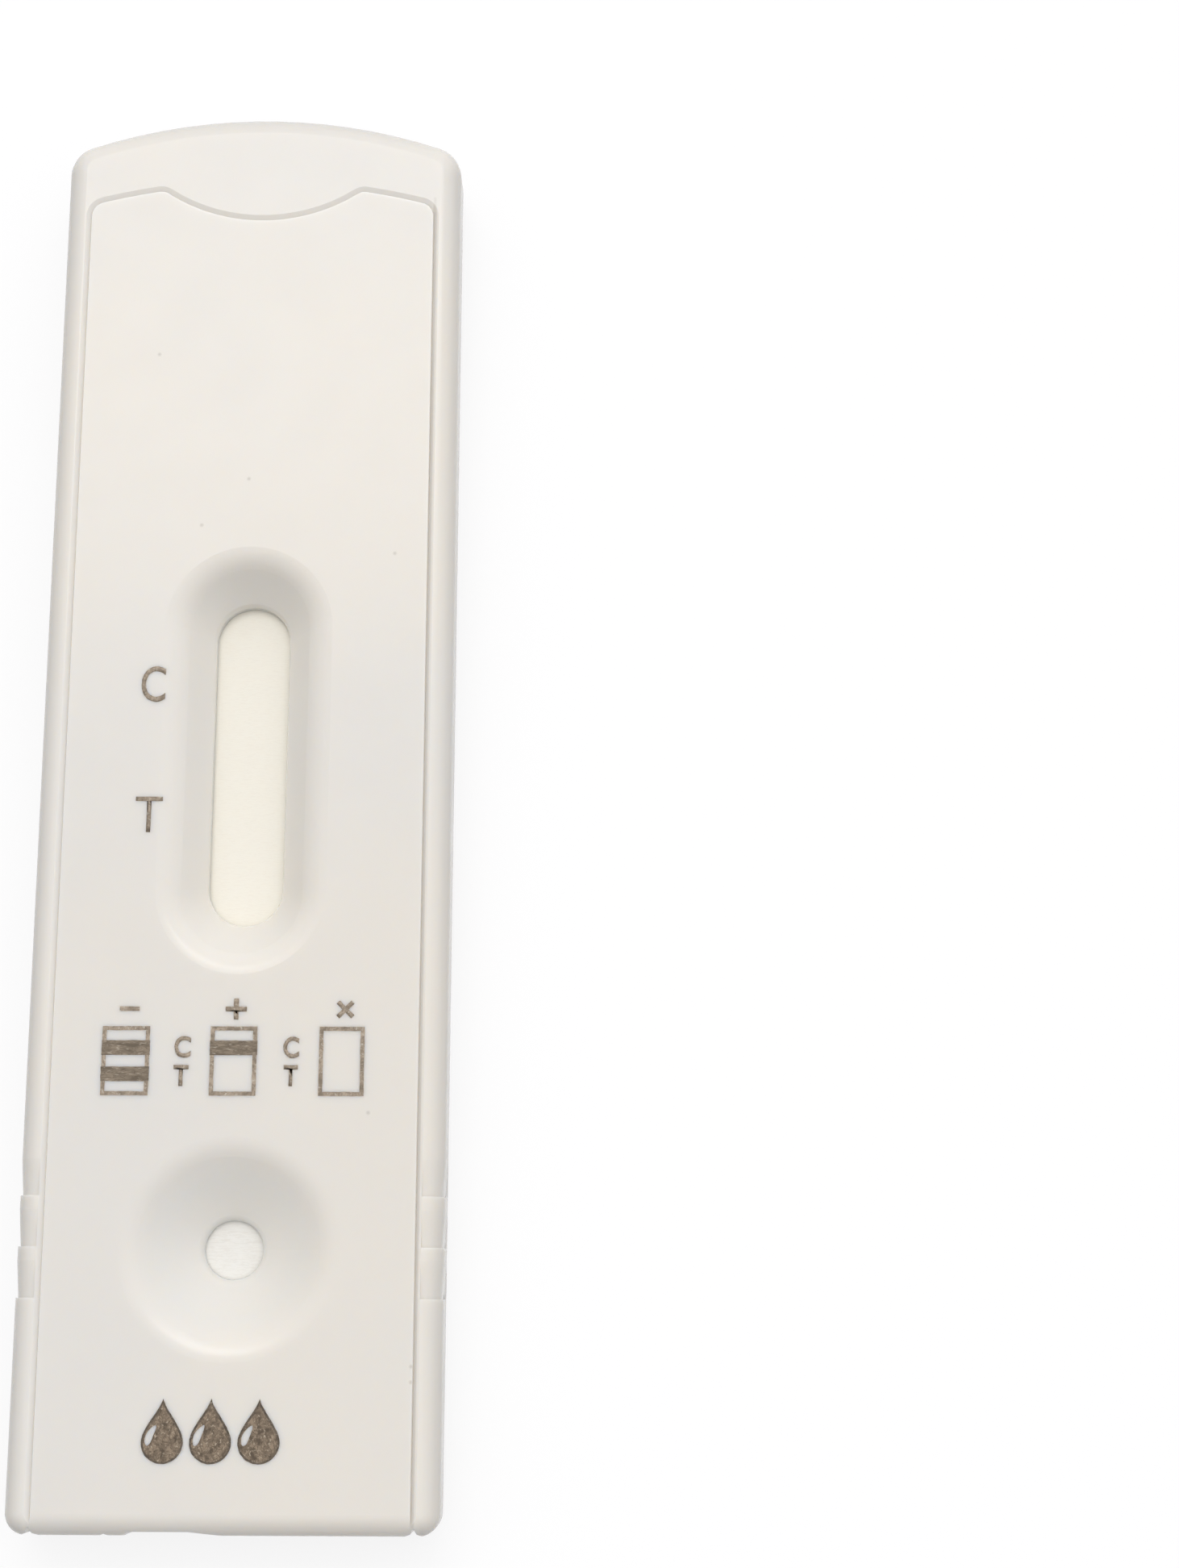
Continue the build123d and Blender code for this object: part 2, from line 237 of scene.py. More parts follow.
# %% [markdown]
# ## Helpers for noise and groups
# Every finish is grown from noise, which looks natural and needs no picture. It is placed by
# Object coordinates. These are in metres, and the case is only a few centimetres long, so they
# are turned into millimetres: a noise scale of 2 then means two lumps to the millimetre, which
# is easy to judge on a real part. What several materials share is built once, as a group.

# %% Write the noise and group helpers
def noise(tree, place, scale, detail, roughness, distortion=0.0):
    """A soft random pattern round a half."""
    inputs = {
        "Vector": place,
        "Scale": scale,
        "Detail": detail,
        "Roughness": roughness,
        "Distortion": distortion,
    }
    return new_node(tree, "ShaderNodeTexNoise", inputs).outputs["Fac"]


def remap(tree, value, start, end, low=0.0, high=1.0, interpolation="LINEAR"):
    """Turns the stretch from start to end into one from low to high, and stops at both."""
    inputs = {"Value": value, "From Min": start, "From Max": end, "To Min": low, "To Max": high}
    node = new_node(tree, "ShaderNodeMapRange", inputs, interpolation_type=interpolation)
    return node.outputs["Result"]


def relief_normal(tree, height, strength=1.0, distance=millimetre):
    """The normal of a surface that a height raises, in millimetres unless a distance is given."""
    inputs = {"Height": height, "Strength": strength, "Distance": distance}
    return new_node(tree, "ShaderNodeBump", inputs).outputs["Normal"]


def new_group(name, inputs, outputs):
    """An empty node group with named sockets. Returns it with its two end nodes."""
    group = bpy.data.node_groups.new(name, "ShaderNodeTree")
    for socket_name, kind, value in inputs:
        socket = group.interface.new_socket(socket_name, in_out="INPUT", socket_type=kind)
        if value is not None:
            socket.default_value = value
    for socket_name, kind in outputs:
        group.interface.new_socket(socket_name, in_out="OUTPUT", socket_type=kind)
    return group, group.nodes.new("NodeGroupInput"), group.nodes.new("NodeGroupOutput")


print("helpers: noise, remap, relief_normal, new_group")

# %% [markdown]
# ## Satin moulded plastic, as a group
# The mould of such a case is polished and then lightly etched. The plastic copies the etching
# as a grain much finer than a hair, and it shrinks as it cools, which leaves slow ripples that
# only a reflection shows. Neither could be modelled in the mesh, so one group makes both as a
# normal, and lets the gloss drift as well. Both shells use it, each with its own depths.

# %% Build the moulded surface group
moulded_surface, ends_in, ends_out = new_group(
    "moulded_surface",
    [
        ("Place", "NodeSocketVector", None),
        ("Grain depth", "NodeSocketFloat", 0.0004),
        ("Ripple depth", "NodeSocketFloat", 0.006),
        ("Roughness low", "NodeSocketFloat", 0.19),
        ("Roughness high", "NodeSocketFloat", 0.25),
    ],
    [("Normal", "NodeSocketVector"), ("Roughness", "NodeSocketFloat")],
)
given = ends_in.outputs
grain = noise(moulded_surface, given["Place"], scale=14.0, detail=2.0, roughness=0.6)
ripple = noise(moulded_surface, given["Place"], scale=0.22, detail=1.0, roughness=0.4)
smear = noise(moulded_surface, given["Place"], scale=0.35, detail=3.0, roughness=0.55)
grain_height = calculate(moulded_surface, "MULTIPLY", grain, given["Grain depth"])
ripple_height = calculate(moulded_surface, "MULTIPLY", ripple, given["Ripple depth"])
height = calculate(moulded_surface, "ADD", grain_height, ripple_height)
gloss = remap(
    moulded_surface, smear, start=0.35, end=0.65,
    low=given["Roughness low"], high=given["Roughness high"],
)
moulded_surface.links.new(relief_normal(moulded_surface, height), ends_out.inputs["Normal"])
moulded_surface.links.new(gloss, ends_out.inputs["Roughness"])
print("group:", moulded_surface.name)

# %% [markdown]
# ## Slow drift of colour, as a group
# White plastic is never one white. It is a little warmer where the pellets ran hotter, and
# cooler elsewhere. A single colour would look painted, so the group blends two near tones by a
# very large, soft noise. The card that carries the strip uses it too, with smaller patches.

# %% Build the tone drift group
tone_drift, ends_in, ends_out = new_group(
    "tone_drift",
    [
        ("Place", "NodeSocketVector", None),
        ("Patches per mm", "NodeSocketFloat", 0.06),
        ("Cool tone", "NodeSocketColor", (0.7, 0.7, 0.7, 1.0)),
        ("Warm tone", "NodeSocketColor", (0.7, 0.7, 0.7, 1.0)),
    ],
    [("Color", "NodeSocketColor")],
)
given = ends_in.outputs
patches = noise(tone_drift, given["Place"], scale=given["Patches per mm"], detail=2.0, roughness=0.5)
warm_share = remap(tone_drift, patches, start=0.35, end=0.65, interpolation="SMOOTHSTEP")
drifted = mix_colours(tone_drift, warm_share, given["Cool tone"], given["Warm tone"])
tone_drift.links.new(drifted, ends_out.inputs["Color"])
print("group:", tone_drift.name)

# %% [markdown]
# ## Painted edge shade, as a group
# The outer edges of the case are painted a little greyer than its face. This is painted shade,
# where the rounded edges turn away from the light overhead, and not wear. A mask finds the
# edges by itself: it is the steepness of the surface, taken from its own normal. It counts only
# beyond the line at either side, and more and more towards the head end, where it dims the
# bright rounded edge against the white floor.

# %% Build the painted edge shade group
rail_width = 1.05
rail_run = 0.25
rail_share = 0.75
head_reach = 3.4
head_run = 2.6
head_share = 1.3
steepness_power = 0.5
steepness_gain = 0.60

painted_edge_shade, ends_in, ends_out = new_group(
    "painted_edge_shade",
    [
        ("Place", "NodeSocketVector", None),
        ("Color", "NodeSocketColor", (0.7, 0.7, 0.7, 1.0)),
        ("Edge shade tone", "NodeSocketColor", (0.4, 0.4, 0.4, 1.0)),
        ("Most shade", "NodeSocketFloat", 0.3),
    ],
    [("Color", "NodeSocketColor")],
)
given = ends_in.outputs
skin = new_node(painted_edge_shade, "ShaderNodeNewGeometry", {})
facing = new_node(painted_edge_shade, "ShaderNodeSeparateXYZ", {0: skin.outputs["Normal"]})
# Painted shade: the steeper the surface, the darker its colour.
steepness = calculate(painted_edge_shade, "SUBTRACT", 1.0, facing.outputs["Z"])
softened = calculate(painted_edge_shade, "POWER", steepness, steepness_power)
gained = calculate(painted_edge_shade, "MULTIPLY", softened, steepness_gain)
limited = calculate(painted_edge_shade, "MINIMUM", gained, given["Most shade"])

apart = new_node(painted_edge_shade, "ShaderNodeSeparateXYZ", {0: given["Place"]})
from_middle = calculate(painted_edge_shade, "ABSOLUTE", apart.outputs["X"])
rail_start = side - rail_width
head_start = head - head_reach
at_rail = remap(painted_edge_shade, from_middle, rail_start, rail_start + rail_run, high=rail_share)
at_head = remap(painted_edge_shade, apart.outputs["Y"], head_start, head_start + head_run, high=head_share)
edge_zone = calculate(painted_edge_shade, "MAXIMUM", at_rail, at_head)
edge_shade_share = calculate(painted_edge_shade, "MULTIPLY", limited, edge_zone)
edge_shaded = mix_colours(painted_edge_shade, edge_shade_share, given["Color"], given["Edge shade tone"])
painted_edge_shade.links.new(edge_shaded, ends_out.inputs["Color"])
print("group:", painted_edge_shade.name, "beyond x", round(rail_start, 2), "and y", round(head_start, 2), "mm")

# %% [markdown]
# ## Dust and painted shade on the top shell
# A few dark specks of dust are baked into this shell. The line along the right side of its
# panel is darkened with painted shade, which stands in for the shade deep in that groove. Both
# have no thickness, so they are masks over the colour and not pieces. Each speck is a small
# soft spot about a named place. The painted shade is one more spot that is drawn out along the
# whole side: the place's Y counts only where it lies beyond the end of that stretch. The
# strongest mark wins, and it darkens the plastic only slightly.

# %% Write the marks
# One tone darkens both the dust specks and the painted shade in the right groove.
dust_and_shade_tone = (0.60, 0.57, 0.515, 1.0)
speck_places = [
    # x and y in millimetres
    (-0.24, 15.45),
    (-2.5, 13.05),
    (7.07, 11.62),
    (-4.93, 21.98),
    (6.36, -15.78),
    (8.6, -27.4),
    (8.6, -28.1),
]
speck_radius = 0.13
speck_core_share = 0.2
speck_share = 1.0
# The painted shade line in the right groove: its place below the face, and its spread.
line_inset = 1.25
line_depth = 0.09
corner_reach = 4.6
groove_shade_radius = 0.13
groove_shade_core_share = 0.5
groove_shade_share = 0.75


def soft_spot(tree, place, middle, radius, core_share, strength):
    """A mask that is at full strength about a place and gone at its radius."""
    away = new_node(tree, "ShaderNodeVectorMath", {0: place, 1: middle}, operation="DISTANCE")
    return remap(tree, away.outputs["Value"], core_share * radius, radius, low=strength, high=0.0)


def along_the_side(tree, in_mm):
    """The place with its Y counted from the end of the stretch of painted shade, and 0 before it."""
    apart = new_node(tree, "ShaderNodeSeparateXYZ", {0: in_mm})
    beyond = calculate(tree, "SUBTRACT", apart.outputs["Y"], head - corner_reach)
    past_end = calculate(tree, "MAXIMUM", beyond, 0.0)
    inputs = {"X": apart.outputs["X"], "Y": past_end, "Z": apart.outputs["Z"]}
    return new_node(tree, "ShaderNodeCombineXYZ", inputs).outputs[0]


def dust_and_groove_shade(tree, in_mm, colour):
    """The colour with the painted shade line in the right groove and the specks of dust."""
    line_place = (side - line_inset, 0.0, face - line_depth)
    stretched = along_the_side(tree, in_mm)
    dust_and_shade = soft_spot(tree, stretched, line_place, groove_shade_radius, groove_shade_core_share, groove_shade_share)
    for x, y in speck_places:
        speck = soft_spot(tree, in_mm, (x, y, face), speck_radius, speck_core_share, speck_share)
        dust_and_shade = calculate(tree, "MAXIMUM", dust_and_shade, speck)
    return mix_colours(tree, dust_and_shade, colour, dust_and_shade_tone)


print("specks of dust:", len(speck_places))

# %% [markdown]
# ## Helpers for materials
# A material starts as one Principled shader, whose plain values say what the body is made of.
# The groups are then placed in its tree and feed the inputs that vary over the surface. Each
# piece of the frame arrives with a plain finish, and the new material takes its place.

# %% Write the material helpers
def place_group(tree, group, inputs):
    """The outputs of one use of a node group, with its own values."""
    return new_node(tree, "ShaderNodeGroup", inputs, node_tree=group).outputs


def new_material(name, shader_values):
    """A material, its tree, its shader, and the socket that gives the place in millimetres."""
    material = bpy.data.materials.new(name)
    material.use_nodes = True
    tree = material.node_tree
    shader = tree.nodes["Principled BSDF"]
    for socket_name, value in shader_values.items():
        shader.inputs[socket_name].default_value = value
    place = new_node(tree, "ShaderNodeTexCoord", {})
    inputs = {0: place.outputs["Object"], "Scale": 1 / millimetre}
    in_mm = new_node(tree, "ShaderNodeVectorMath", inputs, operation="SCALE").outputs[0]
    return material, tree, shader, in_mm


def dress(node_name, material):
    """Gives a piece of the frame its finish, in place of the plain one that it came with."""
    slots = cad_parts[node_name].data.materials
    slots.clear()
    slots.append(material)
    print(node_name, "wears", material.name)


print("helpers: place_group, new_material, dress")

# %% [markdown]
# ## The two shells
# Both halves are pressed from the same warm white, which lets a little light into it, so deep
# corners glow faintly and never go black. Plain diffuse white would look like chalk, so most
# of the body is subsurface. One function finishes both shells with the three groups, and both
# get painted shade on their outer edges. Only the top shell gets dust specks and a painted
# shade line in its right groove, and the bottom shell, which nobody looks at, is etched more
# coarsely.

# %% Finish the two shells
plastic_body = {
    "IOR": 1.5,
    "Subsurface Weight": 0.9,
    "Subsurface Radius": (1.0, 0.85, 0.65),
    "Subsurface Scale": 0.8 * millimetre,
}
plastic_tones = {
    "Cool tone": (0.725, 0.706, 0.662, 1.0),
    "Warm tone": (0.742, 0.713, 0.653, 1.0),
}
# The darker grey of the painted edge shade, and its strongest share.
plastic_edge_shade = {"Edge shade tone": (0.42, 0.41, 0.385, 1.0), "Most shade": 0.34}
fine_etching = {"Grain depth": 0.0004, "Roughness low": 0.19, "Roughness high": 0.25}
coarse_etching = {"Grain depth": 0.0010, "Roughness low": 0.30, "Roughness high": 0.40}


def finish_shell(node_name, etching, add_dust_and_shade=None):
    """Gives one shell its white plastic and painted edge shade. Dust and painted shade may be added to
    the colour first.
    """
    material, tree, shader, in_mm = new_material(node_name + "_plastic", plastic_body)
    surface = place_group(tree, moulded_surface, {"Place": in_mm, **etching})
    colour = place_group(tree, tone_drift, {"Place": in_mm, **plastic_tones})["Color"]
    if add_dust_and_shade is not None:
        colour = add_dust_and_shade(tree, in_mm, colour)
    edge_shaded = place_group(tree, painted_edge_shade, {"Place": in_mm, "Color": colour, **plastic_edge_shade})
    tree.links.new(edge_shaded["Color"], shader.inputs["Base Color"])
    tree.links.new(surface["Normal"], shader.inputs["Normal"])
    tree.links.new(surface["Roughness"], shader.inputs["Roughness"])
    dress(node_name, material)


finish_shell("top_shell", fine_etching, dust_and_groove_shade)
finish_shell("bottom_shell", coarse_etching)

# %% [markdown]
# ## Porous and fibrous layers, as a group
# The strip's membrane is a foam with pores of a few thousandths of a millimetre, and its pads
# are felts of short fibres. Up close both look like fine crossing threads. Thousands of threads
# could be modelled, but two noises, each drawn out along one direction, give the same look.
# The group crosses them, and puts out their relief and a mask for the gaps between threads.

# %% Build the felt group
thread_turns = [0.5, -0.9]
thread_stretch = (0.18, 1.0, 1.0)

felt, ends_in, ends_out = new_group(
    "felt",
    [
        ("Place", "NodeSocketVector", None),
        ("Threads per mm", "NodeSocketFloat", 9.0),
        ("Depth", "NodeSocketFloat", 0.01),
    ],
    [("Normal", "NodeSocketVector"), ("Gaps", "NodeSocketFloat")],
)
given = ends_in.outputs
directions = []
for turn in thread_turns:
    inputs = {"Vector": given["Place"], "Rotation": (0.0, 0.0, turn), "Scale": thread_stretch}
    laid = new_node(felt, "ShaderNodeMapping", inputs).outputs["Vector"]
    threads = noise(felt, laid, given["Threads per mm"], detail=3.0, roughness=0.6, distortion=0.6)
    directions.append(threads)
crossing = calculate(felt, "MAXIMUM", *directions)
height = calculate(felt, "MULTIPLY", crossing, given["Depth"])
gaps = remap(felt, crossing, start=0.42, end=0.58, low=1.0, high=0.0)
felt.links.new(relief_normal(felt, height), ends_out.inputs["Normal"])
felt.links.new(gaps, ends_out.inputs["Gaps"])
print("group:", felt.name)

# %% [markdown]
# ## The layers of the strip
# The membrane has the finest pores of all the layers, so it looks smooth and quite matt. The
# pads are coarser felts, and the conjugate pad has been soaked and dried, which leaves it
# faintly tinted. They are all the same kind of material, so one function finishes them, and
# only the tones, the fineness and the depth of the threads differ.

# %% Finish the layers of the strip
paper_body = {
    "Roughness": 0.95,
    "Specular IOR Level": 0.2,
    "Subsurface Weight": 0.6,
    "Subsurface Radius": (1.0, 0.9, 0.8),
    "Subsurface Scale": 0.1 * millimetre,
}


def finish_layer(node_name, light_tone, gap_tone, threads_per_mm, depth):
    """Gives one layer of the strip a felted finish between two tones."""
    material, tree, shader, in_mm = new_material(node_name + "_felt", paper_body)
    inputs = {"Place": in_mm, "Threads per mm": threads_per_mm, "Depth": depth}
    weave = place_group(tree, felt, inputs)
    colour = mix_colours(tree, weave["Gaps"], light_tone, gap_tone)
    tree.links.new(colour, shader.inputs["Base Color"])
    tree.links.new(weave["Normal"], shader.inputs["Normal"])
    dress(node_name, material)


finish_layer(
    "membrane", light_tone=(0.825, 0.80, 0.715, 1.0), gap_tone=(0.805, 0.775, 0.69, 1.0),
    threads_per_mm=16.0, depth=0.0015,
)
finish_layer(
    "sample_pad", light_tone=(0.80, 0.79, 0.745, 1.0), gap_tone=(0.75, 0.735, 0.685, 1.0),
    threads_per_mm=12.0, depth=0.010,
)
finish_layer(
    "conjugate_pad", light_tone=(0.80, 0.70, 0.66, 1.0), gap_tone=(0.66, 0.55, 0.51, 1.0),
    threads_per_mm=8.0, depth=0.03,
)
finish_layer(
    "absorbent_pad", light_tone=(0.84, 0.83, 0.78, 1.0), gap_tone=(0.70, 0.68, 0.62, 1.0),
    threads_per_mm=6.0, depth=0.04,
)

# %% [markdown]
# ## The backing card
# The layers are glued on a smooth card of white plastic. It is hidden in the closed case, but
# shows when the shells are lifted off. It could share the paper's finish, but plastic has no
# threads, so the drift of colour alone keeps it from looking painted.

# %% Finish the backing card
card_tones = {
    "Patches per mm": 0.5,
    "Cool tone": (0.78, 0.79, 0.78, 1.0),
    "Warm tone": (0.81, 0.81, 0.79, 1.0),
}
card_plastic, tree, shader, in_mm = new_material("backing_card_plastic", {"Roughness": 0.4})
tone = place_group(tree, tone_drift, {"Place": in_mm, **card_tones})
tree.links.new(tone["Color"], shader.inputs["Base Color"])
dress("backing_card", card_plastic)

# %% [markdown]
# ## Pad-printed ink, as a group
# A silicone pad lifts the ink from a plate and presses it on the case, so the film is thin and
# uneven. It is taupe where it is thin, dark where it pooled, crossed by fine dark veins, and it
# has pale pinholes where it didn't take. One flat brown would look like a sticker, so three
# noises make these. The Stretch input draws them all out along one direction, as on the bars,
# where the pad dragged.

# %% Build the ink group
vein_middle = 0.5
vein_width = 0.06

ink_film, ends_in, ends_out = new_group(
    "ink_film",
    [
        ("Place", "NodeSocketVector", None),
        ("Stretch", "NodeSocketVector", (1.0, 1.0, 1.0)),
        ("Thin tone", "NodeSocketColor", (0.3, 0.25, 0.2, 1.0)),
        ("Pooled tone", "NodeSocketColor", (0.1, 0.1, 0.1, 1.0)),
        ("Pinhole tone", "NodeSocketColor", (0.5, 0.5, 0.5, 1.0)),
    ],
    [("Color", "NodeSocketColor"), ("Height", "NodeSocketFloat")],
)
given = ends_in.outputs
inputs = {0: given["Place"], 1: given["Stretch"]}
drawn_out = new_node(ink_film, "ShaderNodeVectorMath", inputs, operation="MULTIPLY").outputs[0]
pools = noise(ink_film, drawn_out, scale=3.2, detail=3.0, roughness=0.65)
veins = noise(ink_film, drawn_out, scale=4.2, detail=2.0, roughness=0.5, distortion=1.2)
pinholes = noise(ink_film, drawn_out, scale=8.0, detail=2.0, roughness=0.5)
from_vein = calculate(ink_film, "ABSOLUTE", calculate(ink_film, "SUBTRACT", veins, vein_middle))
pool_mask = remap(ink_film, pools, start=0.42, end=0.62)
vein_mask = remap(ink_film, from_vein, start=0.0, end=vein_width, low=1.0, high=0.0)
pinhole_mask = remap(ink_film, pinholes, start=0.60, end=0.72)
darkest = calculate(ink_film, "MAXIMUM", pool_mask, vein_mask)
film_tone = mix_colours(ink_film, darkest, given["Thin tone"], given["Pooled tone"])
holed_tone = mix_colours(ink_film, pinhole_mask, film_tone, given["Pinhole tone"])
ink_film.links.new(holed_tone, ends_out.inputs["Color"])
ink_film.links.new(pinholes, ends_out.inputs["Height"])
print("group:", ink_film.name)

# %% [markdown]
# ## Four inks from one group
# All the print comes from one pot, but it dries to different tones. The thin lines of the boxes
# and letters take little ink and stay pale. The bars take more, and it is drawn out sideways.
# The body of a droplet is a wide area, so its ink is blotchy in all directions. Where a bar or
# a droplet ends, the pad squeezes a darker rim out of it. So the group is placed in four
# materials, each with its own stretch and tones.

# %% Mix the inks
ink_relief_strength = 0.4
ink_relief_depth = 0.004 * millimetre


def mix_ink(name, stretch, thin_tone, pooled_tone, pinhole_tone):
    """A matt printing ink with its own streaks and tones."""
    material, tree, shader, in_mm = new_material(name, {"Roughness": 0.6, "IOR": 1.45})
    inputs = {
        "Place": in_mm,
        "Stretch": stretch,
        "Thin tone": thin_tone,
        "Pooled tone": pooled_tone,
        "Pinhole tone": pinhole_tone,
    }
    film = place_group(tree, ink_film, inputs)
    relief = relief_normal(tree, film["Height"], ink_relief_strength, ink_relief_depth)
    tree.links.new(film["Color"], shader.inputs["Base Color"])
    tree.links.new(relief, shader.inputs["Normal"])
    print("ink:", material.name)
    return material


line_ink = mix_ink(
    "line_ink", stretch=(0.8, 0.8, 1.0), thin_tone=(0.400, 0.325, 0.245, 1.0),
    pooled_tone=(0.200, 0.158, 0.112, 1.0), pinhole_tone=(0.50, 0.45, 0.37, 1.0),
)
bar_ink = mix_ink(
    "bar_ink", stretch=(0.35, 1.4, 1.0), thin_tone=(0.245, 0.195, 0.138, 1.0),
    pooled_tone=(0.120, 0.092, 0.061, 1.0), pinhole_tone=(0.38, 0.33, 0.26, 1.0),
)
droplet_ink = mix_ink(
    "droplet_ink", stretch=(1.0, 0.8, 1.0), thin_tone=(0.262, 0.198, 0.134, 1.0),
    pooled_tone=(0.085, 0.060, 0.037, 1.0), pinhole_tone=(0.42, 0.35, 0.26, 1.0),
)
rim_ink = mix_ink(
    "rim_ink", stretch=(0.6, 1.0, 1.0), thin_tone=(0.130, 0.100, 0.070, 1.0),
    pooled_tone=(0.060, 0.045, 0.030, 1.0), pinhole_tone=(0.24, 0.20, 0.15, 1.0),
)

# %% [markdown]
# ## Helpers for the print
# Print could be a mask in the plastic's own finish, but then it would have no edge to catch the
# light, and no shape in the exported model. So each mark is a real film of ink, a hundredth of
# a millimetre thick. It is drawn flat, fitted to its rectangle of the top face, and pushed up
# to its thickness. A displace modifier makes its outline a little ragged, because ink creeps
# along the grain. The film starts just inside the plastic, so no gap can open. Its places are
# in millimetres from the case's middle line and from the foot or the window.

# %% Write the print helpers
ink_thickness = 0.012 * millimetre
ink_sunk = 0.004 * millimetre
weld_distance = 0.001 * millimetre
ragged_width = 0.035 * millimetre
ragged_lump = 0.25 * millimetre

ragged_texture = bpy.data.textures.new("ragged_edge", "CLOUDS")
ragged_texture.noise_scale = ragged_lump
ragged_texture.noise_depth = 1


def set_on_face(piece, middle_x, middle_y, width, height, sunk=ink_sunk):
    """Fits a flat mesh to a rectangle of the top face, in millimetres, and applies its place."""
    bpy.ops.object.origin_set(type="ORIGIN_GEOMETRY", center="BOUNDS")
    piece.dimensions = (width * millimetre, height * millimetre, 0)
    piece.location = (middle_x * millimetre, middle_y * millimetre, face_z - sunk)
    bpy.ops.object.transform_apply(location=True, rotation=True, scale=True)


def make_film(piece, name, cuts, thickness=ink_thickness):
    """Turns a flat mesh on the top face into a film of ink with a ragged outline."""
    piece.name = name
    bpy.ops.object.mode_set(mode="EDIT")
    bpy.ops.mesh.select_all(action="SELECT")
    bpy.ops.mesh.remove_doubles(threshold=weld_distance)
    bpy.ops.mesh.subdivide(number_cuts=cuts)
    bpy.ops.mesh.extrude_region_move(TRANSFORM_OT_translate={"value": (0, 0, thickness)})
    bpy.ops.mesh.select_all(action="SELECT")
    bpy.ops.mesh.normals_make_consistent(inside=False)
    bpy.ops.object.mode_set(mode="OBJECT")
    for direction in ("X", "Y"):
        creep = piece.modifiers.new("creep_" + direction, "DISPLACE")
        creep.texture = ragged_texture
        creep.texture_coords = "LOCAL"
        creep.direction = direction
        creep.strength = ragged_width
        bpy.ops.object.modifier_apply(modifier=creep.name)
    if not piece.data.materials:
        piece.data.materials.append(line_ink)
    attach(piece, "root")
    print("print piece", piece.name, len(piece.data.polygons), "faces")


print("ink film:", round(ink_thickness / millimetre, 3), "mm")

# %% [markdown]
# ## Letters and signs
# Two plain letters stand beside the window, C for the control line and T for the test line, and
# smaller pairs stand beside the result boxes. A minus, a plus and a cross stand over the boxes.
# Strokes could be built from bars, but a text object has the right curves already, and becomes
# a mesh. The last number of each row is how far its outline is drawn outwards, in shares of the
# letter's size, to bring its strokes to the width of the printed line. A letter's flat faces
# are dissolved and cut up again, which leaves no slivers where strokes meet.

# %% Print the letters and signs
curve_steps = 6
outline_cuts = 1
times_sign = "×"
letters = [
    # name, letter, middle x, middle y, width, height, spread share
    ("letter_control", "C", -4.55, window + 3.61, 1.17, 1.78, 0.004),
    ("letter_test", "T", -4.53, window - 2.865, 1.30, 1.73, -0.004),
    ("key_control_left", "C", -2.48, foot + 22.29, 0.78, 1.03, 0.028),
    ("key_test_left", "T", -2.52, foot + 20.94, 0.71, 0.99, 0.034),
    ("key_control_right", "C", 2.66, foot + 22.28, 0.74, 1.02, 0.028),
    ("key_test_right", "T", 2.66, foot + 20.95, 0.67, 0.99, 0.034),
    ("sign_minus", "-", -5.05, foot + 24.09, 0.95, 0.21, 0.0),
    ("sign_plus", "+", 0.0, foot + 24.09, 1.0, 1.0, 0.016),
    ("sign_cross", times_sign, 5.18, foot + 24.09, 0.85, 0.85, 0.016),
]


def print_letter(name, letter, middle_x, middle_y, width, height, spread_share):
    """One letter that fills a rectangle of the top face."""
    bpy.ops.object.select_all(action="DESELECT")
    bpy.ops.object.text_add(location=(0, 0, 0))
    piece = bpy.context.object
    piece.data.body = letter
    piece.data.offset = spread_share
    piece.data.resolution_u = curve_steps
    bpy.ops.object.convert(target="MESH")
    piece = bpy.context.object
    set_on_face(piece, middle_x, middle_y, width, height)
    bpy.ops.object.mode_set(mode="EDIT")
    bpy.ops.mesh.select_all(action="SELECT")
    bpy.ops.mesh.dissolve_limited()
    bpy.ops.mesh.quads_convert_to_tris(quad_method="BEAUTY", ngon_method="BEAUTY")
    bpy.ops.object.mode_set(mode="OBJECT")
    make_film(piece, name, outline_cuts)


for letter_row in letters:
    print_letter(*letter_row)

# %% [markdown]
# ## Result boxes
# Three boxes show what the window may look like. Four thin strips could frame each one, but
# their corners would overlap. So a box is one plane that is inset to the width of the line,
# with its middle deleted. It is cut into a fine grid, so that its long edges can turn ragged.

# %% Print the boxes
line_width = 0.19
edge_cuts = 12
box_middle_y = foot + 21.63
box_height = 3.26
boxes = {
    # middle x and width
    "left": (-5.17, 2.24),
    "middle": (-0.07, 2.2),
    "right": (5.05, 2.14),
}


def new_plane():
    """A small flat plane, selected alone."""
    bpy.ops.object.select_all(action="DESELECT")
    bpy.ops.mesh.primitive_plane_add(size=millimetre, location=(0, 0, 0))
    return bpy.context.object


def print_box(name, middle_x, width):
    """The outline of one result box."""
    piece = new_plane()
    set_on_face(piece, middle_x, box_middle_y, width, box_height)
    bpy.ops.object.mode_set(mode="EDIT")
    bpy.ops.mesh.select_all(action="SELECT")
    bpy.ops.mesh.inset(thickness=line_width * millimetre)
    bpy.ops.mesh.delete(type="FACE")
    bpy.ops.object.mode_set(mode="OBJECT")
    make_film(piece, name, edge_cuts)


for box_name, (middle_x, width) in boxes.items():
    print_box("box_" + box_name, middle_x, width)

# %% [markdown]
# ## Bars in the boxes
# The bars stand for the lines that come up on the membrane: both on the left, the control line
# alone in the middle, none on the right. They are printed second, so they lie over the box's
# sides and stand a little higher. Each is a plane whose inset border takes the darker ink of
# the rims, which gives the squeezed edge without a second piece.

# %% Print the bars
bar_height = 0.69
bar_rim = 0.07
bar_overhang = 0.02
bar_sunk = 0.003 * millimetre
bar_thickness = 0.014 * millimetre
line_places = {"control": foot + 22.25, "test": foot + 21.01}
bars = [("left", "control"), ("left", "test"), ("middle", "control")]


